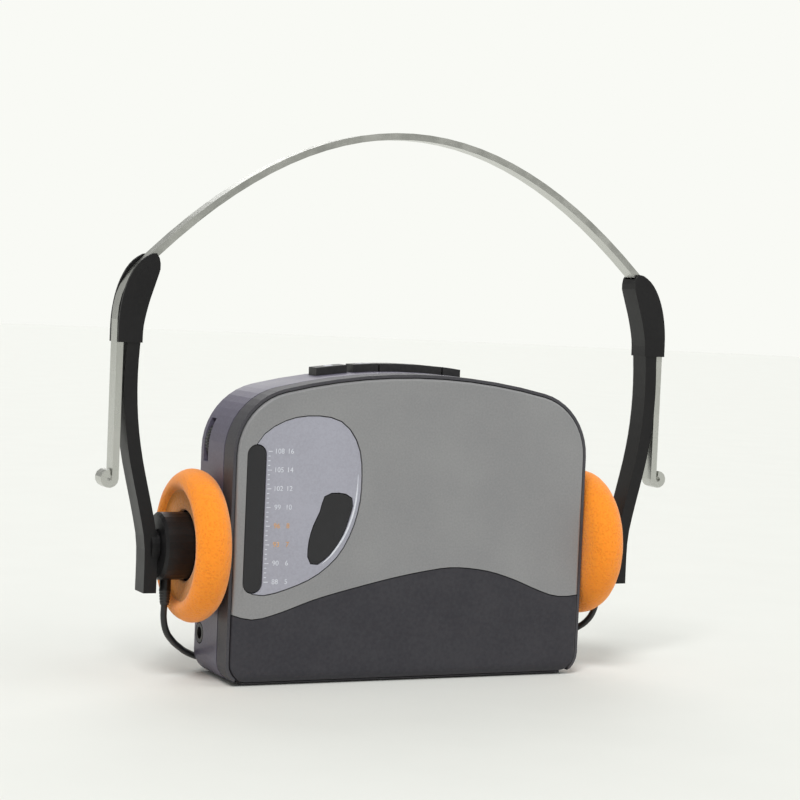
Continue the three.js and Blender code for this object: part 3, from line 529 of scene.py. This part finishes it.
def makeWheel(word, side):
    build = bmesh.new()
    steps = wheel["ribs"] * 4
    x, z = wheel["place"][0] * side, wheel["place"][1]
    rings = []
    for radius, y in wheel["profile"]:
        if radius == 0:
            rings.append([build.verts.new(Vector((x, y, z)) * mm)])
            continue
        ring = []
        for i in range(steps):
            angle = 2 * math.pi * i / steps
            grooved = radius > wheel["rimFrom"] and i % 4 in (0, 1)
            reach = radius - (wheel["depth"] if grooved else 0)
            spot = Vector((x + reach * math.cos(angle), y, z + reach * math.sin(angle)))
            ring.append(build.verts.new(spot * mm))
        rings.append(ring)
    for a, b in zip(rings, rings[1:]):
        for i in range(steps):
            j = (i + 1) % steps
            corners = list(dict.fromkeys([a[i % len(a)], a[j % len(a)], b[j % len(b)], b[i % len(b)]]))
            build.faces.new(corners)
    bmesh.ops.recalc_face_normals(build, faces=build.faces)
    made = addPiece(f"knurled_{word}_wheel", build, keyPlastic, f"{word}_wheel", smooth=False)
    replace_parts(made, f"{word}_wheel")


makeWheel("tuning", -1)
makeWheel("volume", 1)
print("thumbwheels made")

# Dial scale: printed ticks and numbers on the dial plate.
dial = {"front": -14.75, "ink": 0.05, "bottom": 30.8, "top": 69.2, "tickX": (-47.9, -46.6),
        "columns": (-44.4, -40.9), "size": 2.1, "ticks": 28, "halfTick": 0.12, "short": 0.6, "under": 0.1,
        "fine": ("108", "105", "102", "99", "96", "93", "90", "88"),
        "broad": ("16", "14", "12", "10", "8", "7", "6", "5"), "orangeRows": (4, 5)}


def addInk(build, x, z):
    corners = [(x[0], z[0]), (x[1], z[0]), (x[1], z[1]), (x[0], z[1])]
    near = [build.verts.new(Vector((cx, dial["front"] - dial["ink"], cz)) * mm) for cx, cz in corners]
    far = [build.verts.new(Vector((cx, dial["front"] + dial["under"], cz)) * mm) for cx, cz in corners]
    build.faces.new(near)
    build.faces.new(list(reversed(far)))
    for i in range(4):
        j = (i + 1) % 4
        build.faces.new((near[j], near[i], far[i], far[j]))


def printTicks():
    build = bmesh.new()
    for i in range(dial["ticks"] + 1):
        z = dial["bottom"] + (dial["top"] - dial["bottom"]) * i / dial["ticks"]
        shorter = 0 if i % 4 == 0 else dial["short"]
        addInk(build, (dial["tickX"][0], dial["tickX"][1] - shorter),
               (z - dial["halfTick"], z + dial["halfTick"]))
    bmesh.ops.recalc_face_normals(build, faces=build.faces)
    addPiece("dial_ticks", build, dialInk, "door", smooth=False)


def printNumber(name, text, x, z, size, ink):
    data = bpy.data.curves.new(name, "FONT")
    data.body = text
    data.size = size * mm
    data.extrude = 0.06 * mm
    data.align_x = "CENTER"
    data.align_y = "CENTER"
    writing = bpy.data.objects.new(name, data)
    writing.matrix_world = Matrix.Translation(Vector((x, dial["front"] + 0.01, z)) * mm) @ Matrix.Rotation(
        math.pi / 2, 4, "X")
    scene.collection.objects.link(writing)
    bpy.context.view_layer.update()
    mesh = bpy.data.meshes.new_from_object(writing.evaluated_get(bpy.context.evaluated_depsgraph_get()))
    mesh.transform(writing.matrix_world)
    bpy.data.objects.remove(writing)
    mesh.materials.clear()
    mesh.materials.append(ink)
    made = bpy.data.objects.new(name, mesh)
    scene.collection.objects.link(made)
    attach(made, "door")


def printDial():
    printTicks()
    rows = len(dial["fine"])
    for i, (a, b) in enumerate(zip(dial["fine"], dial["broad"])):
        z = dial["top"] - (dial["top"] - dial["bottom"]) * i / (rows - 1)
        ink = dialInkWarm if i in dial["orangeRows"] else dialInk
        printNumber(f"dial_fine_{i + 1}", a, dial["columns"][0], z, dial["size"], ink)
        printNumber(f"dial_broad_{i + 1}", b, dial["columns"][1], z, dial["size"], ink)


# A painted highlight: a pale streak of the white ink, raised a little, that follows the edge of the dial
# plate beside the tape window.
highlightStreak = {"path": [(-29.6, 35.9), (-26.6, 38.6), (-23.4, 42.9), (-21.1, 47.8), (-19.7, 52.8),
                (-19.1, 58.2), (-19.0, 62.5)],
       "width": 0.75, "rise": 0.08, "steps": 40}


def smoothPath(points, steps):
    ends = [points[0]] + list(points) + [points[-1]]
    path = []
    for i in range(steps + 1):
        at = i / steps * (len(points) - 1)
        k = min(int(at), len(points) - 2)
        t = at - k
        a, b, c, d = [Vector(q) for q in ends[k:k + 4]]
        path.append(0.5 * (2 * b + (c - a) * t + (2 * a - 5 * b + 4 * c - d) * t * t
                           + (3 * b - a - 3 * c + d) * t * t * t))
    return path


def makeHighlightStreak():
    build = bmesh.new()
    path = smoothPath(highlightStreak["path"], highlightStreak["steps"])
    rows = []
    for i, spot in enumerate(path):
        along = (path[min(i + 1, len(path) - 1)] - path[max(i - 1, 0)]).normalized()
        across = Vector((along.y, -along.x))
        wide = max(0.06, highlightStreak["width"] / 2 * math.sin(math.pi * (i + 0.3) / (len(path) - 0.4)) ** 0.6)
        low, high = dial["front"] + dial["under"], dial["front"] - highlightStreak["rise"]
        rows.append([build.verts.new(Vector((spot.x + across.x * w, y, spot.y + across.y * w)) * mm)
                     for w, y in ((-wide, low), (-wide * 0.6, high), (wide * 0.6, high), (wide, low))])
    for a, b in zip(rows, rows[1:]):
        for i in range(4):
            j = (i + 1) % 4
            build.faces.new((a[i], a[j], b[j], b[i]))
    build.faces.new(rows[0])
    build.faces.new(list(reversed(rows[-1])))
    bmesh.ops.recalc_face_normals(build, faces=build.faces)
    # The pale streak is a painted highlight along the dial's edge.
    addPiece("dial_painted_highlight", build, dialInk, "door", smooth=False)


printDial()
makeHighlightStreak()
print("dial printed")

# Printed marks: the usual shapes on the keys, a wedge on the battery lid and dots at the switch. The crown is
# the centre height and radius of the curve through the tops of the keys.
mark = {"keyDepth": 6.8, "size": 1.3, "ink": 0.05, "under": 0.08, "crown": (-94.5, 189.4)}


def addFlat(build, corners, place):
    near = [build.verts.new(place(a, b, 0.0)) for a, b in corners]
    far = [build.verts.new(place(a, b, 1.0)) for a, b in corners]
    build.faces.new(near)
    build.faces.new(list(reversed(far)))
    for i in range(len(corners)):
        j = (i + 1) % len(corners)
        build.faces.new((near[j], near[i], far[i], far[j]))


def onKey(a, b, lift):
    base, radius = mark["crown"]
    z = base + math.sqrt(radius * radius - a * a)
    return Vector((a, mark["keyDepth"] + b, z - mark["under"] + lift * (mark["under"] + mark["ink"]))) * mm


def onBack(front):
    under, ink = mark["under"], mark["ink"]
    return lambda a, b, lift: Vector((a, front - under + lift * (under + ink), b)) * mm


def printMark(name, shapes, place, body):
    build = bmesh.new()
    for corners in shapes:
        addFlat(build, corners, place)
    bmesh.ops.recalc_face_normals(build, faces=build.faces)
    addPiece(name, build, dialInk, body, smooth=False)


def wedge(x, way):
    size = mark["size"]
    return [(x - way * size * 0.8, -size), (x + way * size * 0.9, 0), (x - way * size * 0.8, size)]


def dot(x, z, radius, sides):
    return [(x + radius * math.cos(2 * math.pi * i / sides), z + radius * math.sin(2 * math.pi * i / sides))
            for i in range(sides)]


half = mark["size"] * 0.9
printMark("stop_mark", [[(-21 - half, -half), (-21 + half, -half), (-21 + half, half), (-21 - half, half)]],
          onKey, "stop_key")
printMark("rewind_mark", [wedge(-10.9, -1), wedge(-8.5, -1)], onKey, "rewind_key")
printMark("play_mark", [wedge(5.5, 1)], onKey, "play_key")
printMark("forward_mark", [wedge(18.4, 1), wedge(20.8, 1)], onKey, "forward_key")
printMark("lid_mark", [[(14.5, 11.2), (14.5, 15.8), (10.9, 13.5)]], onBack(14.9), "battery_lid")
printMark("switch_marks",
          [dot(-16.1, 81.4, 0.55, 20), dot(-9.9, 81.4, 0.55, 20), dot(-8.3, 81.4, 0.55, 20)],
          onBack(15), "root")
print("marks printed")


# A pale floor, a white room and soft lights: where each light comes from, how wide it is in degrees, and its
# strength. The floor's radius is in metres.
studio = {"floorRadius": 4, "lamps": {"key": ((-0.5, -0.75, 1.15), 22, 1.9),
                                      "fill": ((1.0, -0.6, 0.8), 60, 0.6),
                                      "back": ((0.4, 1.1, 0.9), 40, 0.8)}}


def lightStudio():
    build = bmesh.new()
    bmesh.ops.create_circle(build, cap_ends=True, segments=64, radius=studio["floorRadius"])
    data = bpy.data.meshes.new("floor")
    build.to_mesh(data)
    build.free()
    made, tree, shader, place = startMaterial("studioFloor", {"Roughness": 0.7, "Specular IOR Level": 0.2})
    cloud = addNode(tree, "ShaderNodeTexNoise", {"Vector": place}, {"Scale": 30.0, "Detail": 3.0})
    tone = addNode(tree, "ShaderNodeMix", {"Factor": cloud.outputs["Fac"]}, data_type="RGBA")
    tone.inputs["A"].default_value = srgb("#DDDEDA")
    tone.inputs["B"].default_value = srgb("#E1E2DE")
    tree.links.new(tone.outputs["Result"], shader.inputs["Base Color"])
    data.materials.append(made)
    floor = bpy.data.objects.new("floor", data)
    scene.collection.objects.link(floor)
    lightRoom()
    for name, (origin, spread, power) in studio["lamps"].items():
        light = bpy.data.lights.new(name, "SUN")
        light.angle = math.radians(spread)
        light.energy = power
        lamp = bpy.data.objects.new(name, light)
        lamp.location = origin
        lamp.rotation_mode = "QUATERNION"
        lamp.rotation_quaternion = (-Vector(origin)).to_track_quat("-Z", "Y")
        scene.collection.objects.link(lamp)


# The room is seen as white paper and lights the object at about half of that.
def lightRoom():
    world = bpy.data.worlds.new("room")
    world.use_nodes = True
    tree = world.node_tree
    tree.nodes["Background"].inputs["Color"].default_value = srgb("#F9FAF5")
    rays = addNode(tree, "ShaderNodeLightPath")
    power = addNode(tree, "ShaderNodeMapRange", {"Value": rays.outputs["Is Camera Ray"]},
                    {"To Min": 0.5, "To Max": 1.0})
    tree.links.new(power.outputs[0], tree.nodes["Background"].inputs["Strength"])
    scene.world = world


lightStudio()
print("studio lit")
